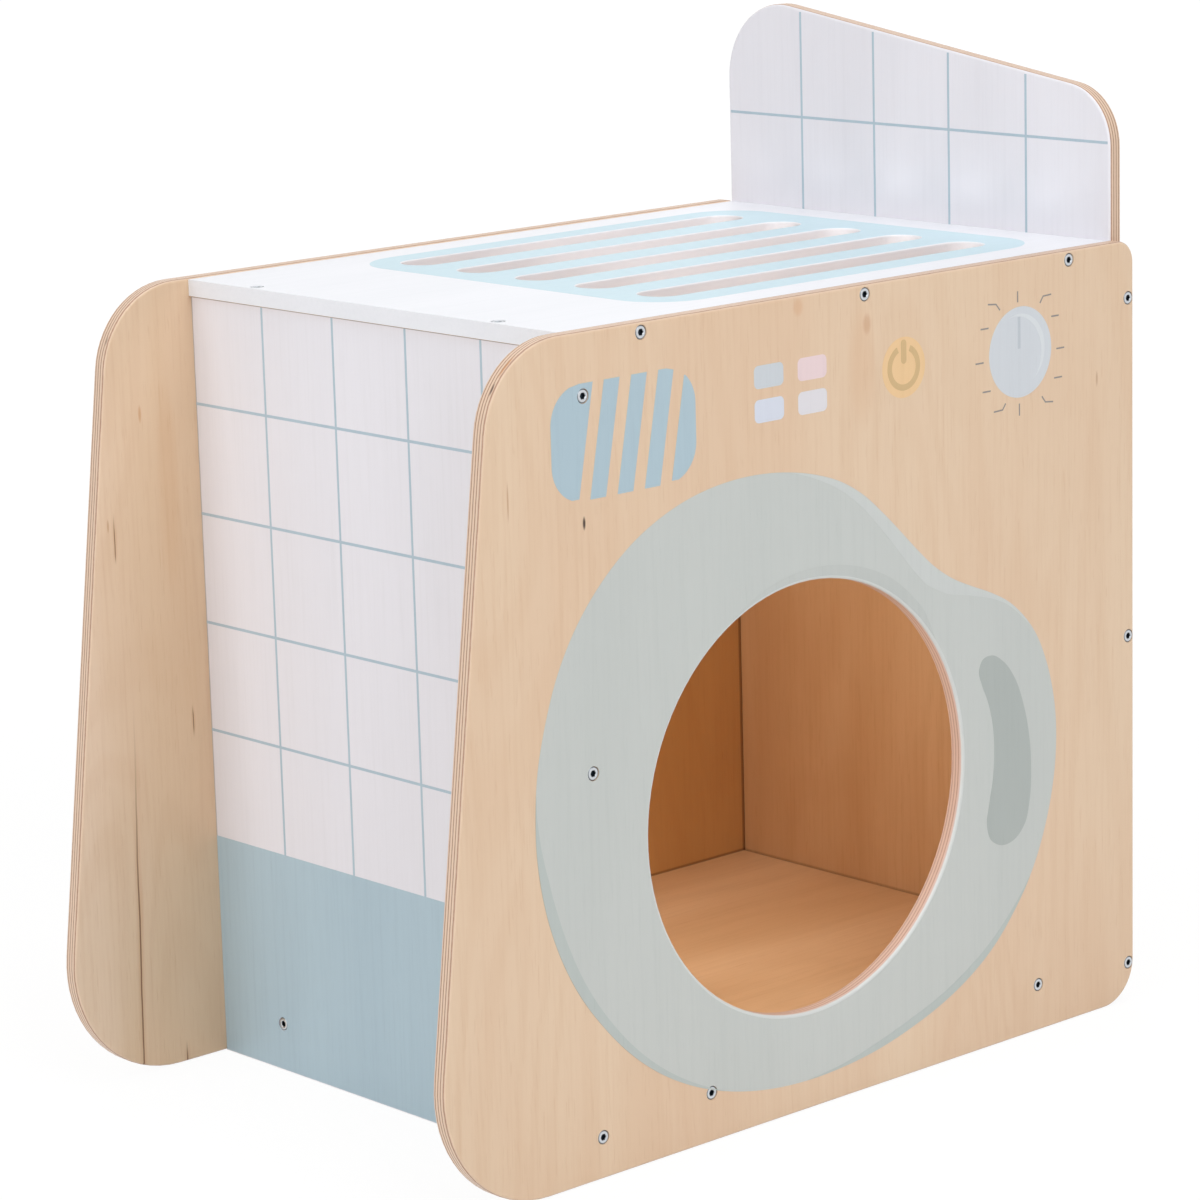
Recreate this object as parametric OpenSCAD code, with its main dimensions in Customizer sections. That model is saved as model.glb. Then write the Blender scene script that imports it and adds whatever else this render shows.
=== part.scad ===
// Toy washing machine for a playroom: a cabinet of six birch plywood panels
// closed by thirty countersunk furniture screws. Front faces -Y, +X is the
// right-hand side seen from the front, and z = 0 is the ground.

/* [Plywood] */
// Thickness of every panel
ply = 12; // [9:0.5:18]
// Radius of the rounded-over edges that hands can reach
ease = 2; // [1:0.25:3]

/* [Cabinet] */
// Outside width over the two side panels
cabinet_w = 553; // [480:1:640]
// Clear depth between the front and rear panels
inside_d = 400; // [340:5:480]
// Height of the underside of the top panel
cabinet_h = 568.5; // [520:0.5:640]
// Height of the underside of the floor panel
floor_gap = 29.5; // [15:0.5:60]
// How far the top panel reaches past the left side panel
top_overhang = 2; // [0:0.5:6]
// How far the front and rear panels stand above the top panel
panel_proud = 1; // [0:0.5:4]

/* [Front and rear outline] */
// Reach of the wing past the left side panel at its top edge, before rounding
wing_top = 73; // [40:1:110]
// Reach of the wing at the ground, before rounding
wing_bottom = 145; // [60:1:180]
// Corner radius of the wing at the top
wing_top_r = 65; // [30:1:90]
// Corner radius of the wing at the ground
wing_bottom_r = 90; // [40:1:110]
// Corner radius at the top right
right_top_r = 16; // [8:1:40]
// Corner radius at the bottom right
right_bottom_r = 33; // [10:1:60]

/* [Door opening] */
// Diameter of the round loading opening
door_d = 310; // [240:2:340]
// Height of its centre above the ground
door_z = 226.5; // [215:0.5:250]

/* [Drying slots in the top] */
// Number of slots
slot_count = 5; // [3:1:5]
// Length of a slot over its round ends
slot_l = 335; // [200:1:360]
// Width of a slot
slot_w = 33.5; // [20:0.5:45]
// Distance from one slot to the next
slot_pitch = 63.5; // [55:0.5:70]
// Distance of the slots' middle from the splashback
slot_from_splash = 229.5; // [200:0.5:260]
// How far the slots sit behind the middle of the depth
slot_shift = 3; // [0:0.5:8]
// Radius of the slots' rims, lighter than the other edges
slot_ease = 1; // [0.5:0.25:2]

/* [Splashback] */
// Height of its rear corner above the top panel, before rounding
splash_rear_h = 169; // [120:1:220]
// Height of its front corner above the top panel, before rounding
splash_front_h = 108; // [80:1:115]
// Radius of the rear corner
splash_rear_r = 60; // [25:1:75]
// Radius of the front corner
splash_front_r = 45; // [20:1:60]
// Radius of the same panel's corners at the ground
splash_foot_r = 4; // [3.5:0.5:12]

/* [Screws] */
// Overall length
screw_l = 50; // [40:1:60]
// Diameter of the countersunk head
head_d = 10; // [8:0.25:11]
// Height of the head's straight rim
head_rim = 0.6; // [0.3:0.1:1.2]
// Diameter of the smooth shoulder that sits in the outer panel
shoulder_d = 7; // [5.5:0.25:7.5]
// Diameter of the threaded part that grips the inner panel
grip_d = 5; // [3.5:0.25:5.25]
// Length of the point
tip_l = 4; // [2:0.5:6]
// Width across the flats of the hexagon socket
socket_w = 4; // [3:0.25:5]
// Depth of the hexagon socket
socket_depth = 3; // [2:0.25:4]
// Gap between a screw and its hole all round
screw_clearance = 0.1; // [0.05:0.05:0.2]

/* [Screw places] */
// Inset of the outer screws of the top row from the side panels
top_row_inset = 59; // [40:1:100]
// Inset of the column screws from the ground and from the top panel
column_inset = 29.5; // [22:0.5:60]
// Inset of the floor screws from the side panels' inner faces
floor_row_inset = 96; // [70:1:140]
// Inset of the side and top screws from the front and rear panels
side_inset = 70; // [60:1:120]

/* [Hidden] */
$fn = 96;
BIG = 1;  // overlap of a cut past the face that it cuts
ARC_STEP = 6;  // angle of one step round a panel's corner
EASE_STEPS = 3;  // steps of a rounded-over edge

// The wing's slanted edge and the widest point of its lower corner
panel_top_z = cabinet_h + ply + panel_proud;
wing_lean = atan((wing_bottom - wing_top) / panel_top_z);
wing_centre_x = -wing_bottom + wing_bottom_r * (tan(wing_lean) + 1 / cos(wing_lean));
wing_reach = wing_bottom_r - wing_centre_x;

// Places along X, with the middle of the overall width at zero
overall_w = cabinet_w + wing_reach;
left_x = wing_reach - overall_w / 2;
right_x = overall_w / 2;
left_inner_x = left_x + ply;
right_inner_x = right_x - ply;
left_mid_x = left_x + ply / 2;
right_mid_x = right_x - ply / 2;

// Places along Y
half_d = inside_d / 2;

// Places along Z
top_z = cabinet_h + ply;
top_mid_z = cabinet_h + ply / 2;
floor_top_z = floor_gap + ply;
floor_mid_z = floor_gap + ply / 2;
column_z = [column_inset, cabinet_h / 2, cabinet_h - column_inset];

// Middle of the slots along X, and of slot i along Y, counted from the front
slot_x = right_inner_x - slot_from_splash;
function slot_y(i) = slot_shift + (i - (slot_count - 1) / 2) * slot_pitch;

socket_r = socket_w / 2 / cos(30);

birch = [0.87, 0.75, 0.60];
pale_birch = [0.84, 0.72, 0.57];
printed_white = [0.93, 0.93, 0.95];
zinc = [0.68, 0.70, 0.72];

function unit(v) = v / norm(v);
function left_of(v) = [-v[1], v[0]];
function before(i, n) = (i + n - 1) % n;
function after(i, n) = (i + 1) % n;
function flat(p) = [p[0], p[1]];

// Travel direction along the outline from corner i to the next one
function heading(c, i) = unit(flat(c[after(i, len(c))]) - flat(c[i]));
// Angle by which the outline turns at corner i
function turn(c, i) =
    let (a = heading(c, before(i, len(c))), b = heading(c, i))
    acos(max(-1, min(1, a * b)));
// Points where the corner's arc begins and ends, and its centre
function arc_start(c, i) =
    flat(c[i]) - heading(c, before(i, len(c))) * c[i][2] * tan(turn(c, i) / 2);
function arc_end(c, i) = flat(c[i]) + heading(c, i) * c[i][2] * tan(turn(c, i) / 2);
function arc_centre(c, i) =
    arc_start(c, i) + left_of(heading(c, before(i, len(c)))) * c[i][2];
// Points of the outline, drawn in by an inset, with each corner an arc
function outline(c, inset) = [
    for (i = [0 : len(c) - 1])
        let (
            m = arc_centre(c, i),
            s = arc_start(c, i) - m,
            from = atan2(s[1], s[0]),
            steps = ceil(turn(c, i) / ARC_STEP)
        )
        for (k = [0 : steps])
            let (a = from + turn(c, i) * k / steps)
            m + (c[i][2] - inset) * [cos(a), sin(a)]
];
// Inset and height of each level of the rounding, up from the face at z = 0
lower_levels = [
    for (k = [0 : EASE_STEPS])
        let (a = 90 * k / EASE_STEPS) [ease * (1 - sin(a)), ease * (1 - cos(a))]
];
upper_levels = [for (k = [EASE_STEPS : -1 : 0]) [lower_levels[k][0], ply - lower_levels[k][1]]];

// Flat panel in the XY plane, rounded over on both faces all the way round.
// Each corner is [x, y, radius], listed counter-clockwise.
module eased_panel(c) {
    levels = concat(lower_levels, upper_levels);
    n = len(outline(c, 0));
    top = len(levels) - 1;
    polyhedron(
        points = [for (l = levels) for (p = outline(c, l[0])) [p[0], p[1], l[1]]],
        faces = concat(
            [[for (i = [0 : n - 1]) i]],
            [[for (i = [n - 1 : -1 : 0]) top * n + i]],
            [
                for (k = [0 : top - 1]) for (i = [0 : n - 1])
                    [
                        k * n + i, (k + 1) * n + i,
                        (k + 1) * n + after(i, n), k * n + after(i, n)
                    ]
            ]
        )
    );
}

// What easing to radius r takes off the rim of a hole, in section, beside the
// hole's wall
module rim_section(r) {
    difference() {
        translate([-r / 2, -BIG]) square([r * 1.5, r + BIG]);
        translate([r, r]) circle(r);
    }
}

// Round hole down through a panel, eased on both faces
module eased_hole(d) {
    translate([0, 0, -BIG]) cylinder(d = d, h = ply + 2 * BIG);
    rotate_extrude() translate([d / 2, 0]) rim_section(ease);
    translate([0, 0, ply]) mirror([0, 0, 1])
        rotate_extrude() translate([d / 2, 0]) rim_section(ease);
}

// Slot with round ends down through a panel, along X, eased on both faces
module eased_slot(l, w) {
    run = l - w;
    translate([-run / 2, -w / 2, -BIG]) cube([run, w, ply + 2 * BIG]);
    for (side = [-1, 1])
        translate([side * run / 2, 0, -BIG]) cylinder(d = w, h = ply + 2 * BIG);
    for (face = [0, 1])
        translate([0, 0, face * ply]) mirror([0, 0, face])
            for (side = [0, 1])
                rotate([0, 0, side * 180]) {
                    translate([run / 2, 0, 0]) rotate([0, 0, -90])
                        rotate_extrude(angle = 180)
                            translate([w / 2, 0]) rim_section(slot_ease);
                    translate([-run / 2, w / 2, 0]) rotate([90, 0, 90])
                        linear_extrude(run) rim_section(slot_ease);
                }
}

// Half section of a screw, head up at z = 0, grown by a gap for its hole
function screw_section(gap) =
    let (
        head = head_d / 2 + gap,
        shoulder = shoulder_d / 2 + gap,
        grip = grip_d / 2 + gap,
        cone = head_rim + (head_d - shoulder_d) / 2
    )
    [
        [0, 0], [head, 0], [head, -head_rim], [shoulder, -cone], [shoulder, -ply],
        [grip, -ply - (shoulder_d - grip_d) / 2], [grip, -screw_l + tip_l - gap],
        [0, -screw_l - gap]
    ];

// Countersunk furniture screw with a hexagon socket, pointing down
module screw() {
    difference() {
        rotate_extrude() polygon(screw_section(0));
        translate([0, 0, -socket_depth])
            cylinder(r = socket_r, h = socket_depth + BIG, $fn = 6);
    }
}

module screw_hole() {
    rotate_extrude() polygon(screw_section(screw_clearance));
    translate([0, 0, -head_rim / 2])
        cylinder(r = head_d / 2 + screw_clearance, h = head_rim / 2 + BIG);
}

// Each of the next modules puts a child at every screw of one joint, with the
// child's +Z pointing out of the panel that holds the head.
module at_front(x, z) {
    translate([x, -half_d - ply, z]) rotate([90, 0, 0]) children();
}
module at_front_top() {
    first = left_x + top_row_inset;
    last = right_inner_x - top_row_inset;
    for (x = [first, (first + last) / 2, last]) at_front(x, top_mid_z) children();
}
module at_front_left() {
    for (z = column_z) at_front(left_mid_x, z) children();
}
module at_front_right() {
    for (z = column_z) at_front(right_mid_x, z) children();
}
module at_front_floor() {
    for (x = [left_inner_x + floor_row_inset, right_inner_x - floor_row_inset])
        at_front(x, floor_mid_z) children();
}
module at_rear() {
    mirror([0, 1, 0]) children();
}
module at_top_left() {
    for (side = [-1, 1])
        translate([left_mid_x, side * (half_d - side_inset), top_z]) children();
}
module at_left_floor() {
    for (side = [-1, 1])
        translate([left_x, side * (half_d - side_inset), floor_mid_z])
            rotate([0, -90, 0]) children();
}
module at_right(z) {
    for (side = [-1, 1])
        translate([right_x, side * (half_d - side_inset), z])
            rotate([0, 90, 0]) children();
}

// Outline shared by the front and rear panels, seen from the front
function wing_outline() = [
    [left_x - wing_bottom, 0, wing_bottom_r],
    [right_x, 0, right_bottom_r],
    [right_x, panel_top_z, right_top_r],
    [left_x - wing_top, panel_top_z, wing_top_r]
];

// Outline of the right side panel, seen along -X with the front at the left
function splash_outline() = [
    [-half_d, 0, splash_foot_r],
    [half_d, 0, splash_foot_r],
    [half_d, top_z + splash_rear_h, splash_rear_r],
    [-half_d, top_z + splash_front_h, splash_front_r]
];

module front_holes() {
    at_front_top() screw_hole();
    at_front_left() screw_hole();
    at_front_right() screw_hole();
    at_front_floor() screw_hole();
}

module front_panel() {
    color(birch) difference() {
        translate([0, -half_d, 0]) rotate([90, 0, 0]) eased_panel(wing_outline());
        translate([0, -half_d, door_z]) rotate([90, 0, 0]) eased_hole(door_d);
        front_holes();
    }
}

module rear_panel() {
    color(pale_birch) difference() {
        translate([0, half_d + ply, 0]) rotate([90, 0, 0]) eased_panel(wing_outline());
        at_rear() front_holes();
    }
}

module left_side_panel() {
    color(printed_white) difference() {
        translate([left_x, -half_d, 0]) cube([ply, inside_d, cabinet_h]);
        at_front_left() screw_hole();
        at_rear() at_front_left() screw_hole();
        at_top_left() screw_hole();
        at_left_floor() screw_hole();
    }
}

module right_side_panel() {
    color(printed_white) difference() {
        translate([right_inner_x, 0, 0]) rotate([90, 0, 90]) eased_panel(splash_outline());
        at_front_right() screw_hole();
        at_rear() at_front_right() screw_hole();
        at_right(floor_mid_z) screw_hole();
        at_right(top_mid_z) screw_hole();
    }
}

module top_panel() {
    color(printed_white) difference() {
        translate([left_x - top_overhang, -half_d, cabinet_h])
            cube([right_inner_x - left_x + top_overhang, inside_d, ply]);
        for (i = [0 : slot_count - 1])
            translate([slot_x, slot_y(i), cabinet_h]) eased_slot(slot_l, slot_w);
        at_front_top() screw_hole();
        at_rear() at_front_top() screw_hole();
        at_top_left() screw_hole();
        at_right(top_mid_z) screw_hole();
    }
}

module floor_panel() {
    color(birch) difference() {
        translate([left_inner_x, -half_d, floor_gap])
            cube([right_inner_x - left_inner_x, inside_d, ply]);
        at_front_floor() screw_hole();
        at_rear() at_front_floor() screw_hole();
        at_left_floor() screw_hole();
        at_right(floor_mid_z) screw_hole();
    }
}

module front_top_screws() { color(zinc) at_front_top() screw(); }
module front_left_screws() { color(zinc) at_front_left() screw(); }
module front_right_screws() { color(zinc) at_front_right() screw(); }
module front_floor_screws() { color(zinc) at_front_floor() screw(); }
module rear_top_screws() { color(zinc) at_rear() at_front_top() screw(); }
module rear_left_screws() { color(zinc) at_rear() at_front_left() screw(); }
module rear_right_screws() { color(zinc) at_rear() at_front_right() screw(); }
module rear_floor_screws() { color(zinc) at_rear() at_front_floor() screw(); }
module top_left_screws() { color(zinc) at_top_left() screw(); }
module left_floor_screws() { color(zinc) at_left_floor() screw(); }
module right_floor_screws() { color(zinc) at_right(floor_mid_z) screw(); }
module right_top_screws() { color(zinc) at_right(top_mid_z) screw(); }

front_panel();
rear_panel();
left_side_panel();
right_side_panel();
top_panel();
floor_panel();
front_top_screws();
front_left_screws();
front_right_screws();
front_floor_screws();
rear_top_screws();
rear_left_screws();
rear_right_screws();
rear_floor_screws();
top_left_screws();
left_floor_screws();
right_floor_screws();
right_top_screws();
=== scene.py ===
"""Looks of a toy washing machine built from 12 mm birch plywood and furniture screws.

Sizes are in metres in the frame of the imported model: +Z up, the front faces -Y, and
+X is the right-hand side seen from the front. Colours are written as 0-255 sRGB.
"""

import bmesh
import bpy
import numpy as np
from mathutils import Matrix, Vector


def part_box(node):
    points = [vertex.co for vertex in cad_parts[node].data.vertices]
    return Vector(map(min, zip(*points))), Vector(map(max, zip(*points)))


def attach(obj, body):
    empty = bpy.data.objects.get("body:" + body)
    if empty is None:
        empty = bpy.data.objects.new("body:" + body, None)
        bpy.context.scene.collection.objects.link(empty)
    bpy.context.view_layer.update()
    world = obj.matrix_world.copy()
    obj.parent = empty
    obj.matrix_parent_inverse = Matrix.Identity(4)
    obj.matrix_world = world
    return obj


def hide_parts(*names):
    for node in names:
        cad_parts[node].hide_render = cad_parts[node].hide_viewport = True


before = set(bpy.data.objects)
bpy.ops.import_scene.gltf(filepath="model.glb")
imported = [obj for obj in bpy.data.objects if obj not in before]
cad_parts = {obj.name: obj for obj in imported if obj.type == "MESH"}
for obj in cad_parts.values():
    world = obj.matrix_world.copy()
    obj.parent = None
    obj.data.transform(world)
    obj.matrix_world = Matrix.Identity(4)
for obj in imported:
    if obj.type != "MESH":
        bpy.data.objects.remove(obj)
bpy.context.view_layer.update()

# ---------------------------------------------------------------------------
# Camera
# A long lens from the front left, a little above the top panel, where the
# photographer stood.
# ---------------------------------------------------------------------------
def axes_at(place, right, up, back):
    """Matrix of a thing at place whose own x, y and z axes point right, up and back."""
    turn = Matrix([tuple(map(float, axis)) for axis in (right, up, back)])
    return Matrix.Translation(tuple(map(float, place))) @ turn.transposed().to_4x4()


camera_place = (-2.05917, -2.27881, 1.01326)
camera_right = (0.738093, -0.674159, -0.026971)
camera_up = (0.164355, 0.140884, 0.976288)
camera_back = (-0.654374, -0.725025, 0.214787)

camera_data = bpy.data.cameras.new("photo_camera")
camera_data.sensor_width = 36.0
camera_data.lens = 129.36
camera_data.clip_end = 50.0
camera = bpy.data.objects.new("photo_camera", camera_data)
camera.matrix_world = axes_at(camera_place, camera_right, camera_up, camera_back)
bpy.context.scene.collection.objects.link(camera)
bpy.context.scene.camera = camera


# ---------------------------------------------------------------------------
# Front and rear panels
# One outline routed twice from 12 mm birch plywood with the grain upright, all
# edges rounded over and clear satin lacquered, so that the nine plies show.
# ---------------------------------------------------------------------------
def srgb(red, green, blue):
    """Linear RGBA of a colour given as 0-255 sRGB."""
    c = np.array([red, green, blue]) / 255.0
    linear = np.where(c <= 0.04045, c / 12.92, ((c + 0.055) / 1.055) ** 2.4)
    return (*linear.tolist(), 1.0)


class Wire:
    """An output in a material's nodes. Arithmetic on it adds Math nodes, and
    node() adds any other node."""

    def __init__(self, tree, out=None):
        self.tree, self.out = tree, out

    def node(self, kind, inputs=(), out=0, **settings):
        """Adds a node: its settings first, then its sockets' values or links."""
        new = self.tree.nodes.new(kind)
        for name, value in settings.items():
            setattr(new, name, value)
        for name, value in dict(inputs).items():
            if isinstance(value, Wire):
                self.tree.links.new(value.out, new.inputs[name])
            else:
                new.inputs[name].default_value = value
        return Wire(self.tree, new.outputs[out] if len(new.outputs) else None)

    def maths(self, operation, *others):
        """A Math node's operation on this value and any others."""
        values = dict(enumerate((self, *others)))
        return self.node("ShaderNodeMath", values, operation=operation)

    def __add__(self, other):
        return self.maths("ADD", other)

    def __sub__(self, other):
        return self.maths("SUBTRACT", other)

    def __mul__(self, other):
        return self.maths("MULTIPLY", other)

    def __rsub__(self, other):
        return self * -1.0 + other

    __radd__, __rmul__ = __add__, __mul__

    def fade(self, start, end):
        """0 before start, 1 past end and a smooth step between; start may be the larger."""
        return self.node(
            "ShaderNodeMapRange",
            {"Value": self, "From Min": start, "From Max": end},
            interpolation_type="SMOOTHSTEP",
        )

    def mix(self, share, first, second, **settings):
        """A first colour mixed towards a second one by a share from 0 to 1."""
        inputs = {0: share, 6: first, 7: second}
        return self.node("ShaderNodeMix", inputs, out=2, data_type="RGBA", **settings)

    def tint(self, share, colour, **settings):
        """This colour mixed towards another."""
        return self.mix(share, self, colour, **settings)


def new_finish(name):
    """(material, start wire, x, y and z wires of the Object coordinates)."""
    finish = bpy.data.materials.new(name)
    finish.use_nodes = True
    finish.node_tree.nodes.clear()
    start = Wire(finish.node_tree)
    place = start.node("ShaderNodeTexCoord", out="Object")
    xyz = [place.node("ShaderNodeSeparateXYZ", {0: place}, out=k) for k in range(3)]
    return finish, start, xyz


def speckle(start, xyz, seed, scale, detail, **more):
    """Even noise on the Object coordinates, moved by seed."""
    at = start.node("ShaderNodeCombineXYZ", {0: xyz[0] + seed, 1: xyz[1], 2: xyz[2]})
    inputs = {"Vector": at, "Scale": scale, "Detail": detail, **more}
    return start.node("ShaderNodeTexNoise", inputs)


def lacquer(start, colour, roughness, height, relief, coat=0.0, metal=0.0):
    """Ends a material: a Principled surface whose bump has a depth of relief metres."""
    bump = start.node("ShaderNodeBump", {"Height": height, "Distance": relief})
    shell = start.node(
        "ShaderNodeBsdfPrincipled",
        {
            "Base Color": colour,
            "Roughness": roughness,
            "Metallic": metal,
            "Coat Weight": coat,
            "Coat Roughness": 0.25,
            "Normal": bump,
        },
    )
    start.node("ShaderNodeOutputMaterial", {"Surface": shell})


def grain(start, across, along, depth, seed):
    """Rotary-cut birch veneer: (tone, streaks, figure, pores), each from 0 to 1.

    Every pattern is a noise drawn out along the grain. The figure is the contour
    lines of a slow noise, as where the knife cuts through the year rings.
    """

    def drawn_out(stretch, scale, detail, offset=0.0, **more):
        """Noise on the sheet's coordinates, with those along the grain times stretch."""
        at = start.node(
            "ShaderNodeCombineXYZ",
            {0: across + (seed + offset), 1: along * stretch, 2: depth + seed},
        )
        inputs = {"Vector": at, "Scale": scale, "Detail": detail, **more}
        return start.node("ShaderNodeTexNoise", inputs)

    tone = drawn_out(0.16, 11.0, 3.0)
    streaks = drawn_out(0.03, 300.0, 4.0, Roughness=0.62)
    slow = drawn_out(0.2, 6.5, 1.5, offset=3.1, Distortion=0.35)
    figure = (slow * 95.0).maths("SINE") * 0.5 + 0.5
    pores = drawn_out(0.045, 950.0, 1.0, offset=5.7).fade(0.63, 0.72)
    return tone, streaks, figure, pores


def veneer(start, across, along, depth, seed, pale, warm, dark):
    """(colour, bump height) of a lacquered birch face."""
    tone, streaks, figure, pores = grain(start, across, along, depth, seed)
    colour = start.mix(tone.fade(0.3, 0.72), pale, warm)
    colour = colour.tint(streaks.fade(0.42, 0.78) * 0.17, dark)
    colour = colour.tint(figure.fade(0.35, 1.0) * 0.08, dark)
    colour = colour.tint(pores * 0.16, dark)
    return colour, streaks * 0.5 + pores * -0.6 + figure * 0.15


def spot(start, xyz, middle, reach):
    """1 in the middle of an ellipsoid and 0 outside it."""
    total = 0.0
    for wire, centre, radius in zip(xyz, middle, reach):
        part = (wire - centre) * (1.0 / radius)
        total = part * part + total
    return total.fade(1.0, 0.0)


ply_count = 9
rim_plies = srgb(228, 202, 178)
cross_plies = srgb(172, 132, 108)


def ply_edge(start, xyz, through, low, thickness, seed):
    """(share of edge, colour of edge): nine plies, every second one turned across.

    The share is 0 in the outer ply, which is the face itself, and 1 deeper in.
    """
    deep = (xyz[through] - low) * (1.0 / thickness)
    wobble = speckle(start, xyz, seed, 60.0, 2.0)
    level = deep * ply_count + (wobble - 0.5) * 0.4
    crossed = ((level * 0.5).maths("PINGPONG", 0.5) * 2.0).fade(0.42, 0.8)
    patchy = speckle(start, xyz, seed, 420.0, 2.0)
    colour = start.mix(crossed * (0.7 + patchy * 0.5), rim_plies, cross_plies)
    from_face = (deep - 0.5).maths("ABSOLUTE")
    return from_face.fade(0.485, 0.455), colour


# painted warm shade multiplied onto the cabinet's inside faces, standing in for light bouncing inside
inside_bounce_shade = srgb(238, 206, 150)
# dark joint line of the inner corners, partly painted corner shade
corner_joint_shade = srgb(112, 70, 36)


def plywood(start, xyz, through, along, node, seed, pale, warm, dark, inside=None, corners=()):
    """(colour, bump height) of a bare sheet with its edges. through and along are the
    axes (0 to 2) across the sheet and along its grain, inside(xyz) is the share of
    painted warm shade on the cabinet's inside faces, and corners are the (axis, place)
    of inner corners with a dark joint line that is partly painted corner shade."""
    low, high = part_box(node)
    across = 3 - through - along
    at = (xyz[across], xyz[along], xyz[through] * 0.3)
    colour, height = veneer(start, *at, seed, pale, warm, dark)
    share = inside(xyz) if inside else 1.0
    if inside:
        colour = colour.tint(share, inside_bounce_shade, blend_type="MULTIPLY")
    # dark joint line at each inner corner, partly painted corner shade
    for axis, place in corners:
        near = (xyz[axis] - place).maths("ABSOLUTE").fade(0.0022, 0.0008)
        colour = colour.tint(near * share * 0.6, corner_joint_shade)
    thickness = high[through] - low[through]
    edge, edge_colour = ply_edge(start, xyz, through, low[through], thickness, seed)
    return colour.tint(edge, edge_colour), height


crack_halo = srgb(184, 126, 70)
crack_line = srgb(116, 70, 30)


def birch(name, *sheet, marks=(), cracks=(), paints=(), **more):
    """Clear lacquered plywood. marks are (middle, reach, strength, colour), cracks are
    (x, lean, low z, high z, half width) and paints are (share of xyz, colour)."""
    finish, start, xyz = new_finish(name)
    seed = sheet[3]
    colour, height = plywood(start, xyz, *sheet, **more)
    for share, paint in paints:
        colour = colour.tint(share(xyz), srgb(*paint))
    for middle, reach, strength, stain in marks:
        colour = colour.tint(spot(start, xyz, middle, reach) * strength, srgb(*stain))
    for x, lean, bottom, top, half in cracks:
        wander = speckle(start, xyz, seed, 9.0, 4.0, Roughness=0.6)
        off = xyz[0] - (xyz[2] - bottom) * lean - x + (wander - 0.5) * 0.0035
        off = off.maths("ABSOLUTE")
        halo = off.fade(half * 5.0, half) * 0.22
        line = off.fade(half, half * 0.4)
        run = xyz[2].fade(bottom - 0.01, bottom) * xyz[2].fade(top, bottom + (top - bottom) * 0.4)
        colour = colour.tint(halo * run, crack_halo).tint(line * run * 0.85, crack_line)
        height = height - line * run * 1.2
    lacquer(start, colour, 0.46, height, 0.00012, coat=0.12)
    return finish


front_low, front_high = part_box("front_panel")
rear_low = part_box("rear_panel")[0]
top_low, top_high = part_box("top_panel")
left_low, left_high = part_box("left_side_panel")
right_low, right_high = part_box("right_side_panel")
floor_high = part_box("floor_panel")[1]
front_y = front_low.y
ground_to_top = top_low.z

door_middle = np.array([0.0, 0.2265])
door_rim_r = 0.159


def door_rim(xyz, deep):
    """1 at the door opening's edge, up to deep behind the front face."""
    up = xyz[2] - door_middle[1]
    round_axis = xyz[0] * xyz[0] + up * up
    round_axis = round_axis.fade(door_rim_r**2, (door_rim_r - 0.0006) ** 2)
    return round_axis * xyz[1].fade(front_y + deep, front_y + deep - 0.0008)


def rear_inside_shade(xyz, left, right, high, low):
    """Share of the rear panel's inner face that carries painted shade, rising from left to
    right of the left side panel's face and from high to low about the top panel's underside."""
    face = xyz[1].fade(rear_low.y + 0.0006, rear_low.y + 0.0002)
    beside = xyz[0].fade(left_low.x + left, left_low.x + right)
    return face * beside * xyz[2].fade(top_low.z + high, top_low.z + low)


front_birch = birch(
    "front_birch",
    1,
    2,
    "front_panel",
    1.3,
    srgb(232, 205, 176),
    srgb(228, 197, 167),
    srgb(208, 164, 123),
    paints=[
        (lambda xyz: door_rim(xyz, 0.0130) * 0.45, (206, 176, 166)),
        (lambda xyz: door_rim(xyz, 0.0034) * 0.7, (218, 196, 190)),
        # print over the rounded edge of the opening, lighter than the ring as a painted highlight
        # where the edge catches light
        (lambda xyz: door_rim(xyz, 0.0020), (214, 218, 216)),
    ],
    marks=[
        ((-0.0047, front_y, 0.5735), (0.006, 0.01, 0.008), 0.32, (212, 152, 100)),
        ((0.0621, front_y, 0.5535), (0.005, 0.01, 0.009), 0.4, (190, 132, 90)),
        ((0.0571, front_y, 0.5235), (0.016, 0.01, 0.05), 0.2, (214, 160, 112)),
        ((-0.2716, front_y, 0.4785), (0.0010, 0.01, 0.016), 0.6, (186, 138, 100)),
        ((-0.2059, front_y, 0.4545), (0.0016, 0.01, 0.0055), 1.0, (60, 38, 24)),
        ((0.3021, front_y, 0.4835), (0.0014, 0.01, 0.007), 0.5, (176, 128, 92)),
        ((-0.2655, front_y + 0.0032, 0.565), (0.012, 0.0012, 0.012), 0.8, (190, 122, 62)),
        ((-0.2775, front_y + 0.0032, 0.552), (0.006, 0.0012, 0.006), 0.95, (70, 50, 38)),
        ((0.062, front_y + 0.006, 0.09), (0.006, 0.0014, 0.006), 0.9, (120, 80, 60)),
    ],
)
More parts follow.
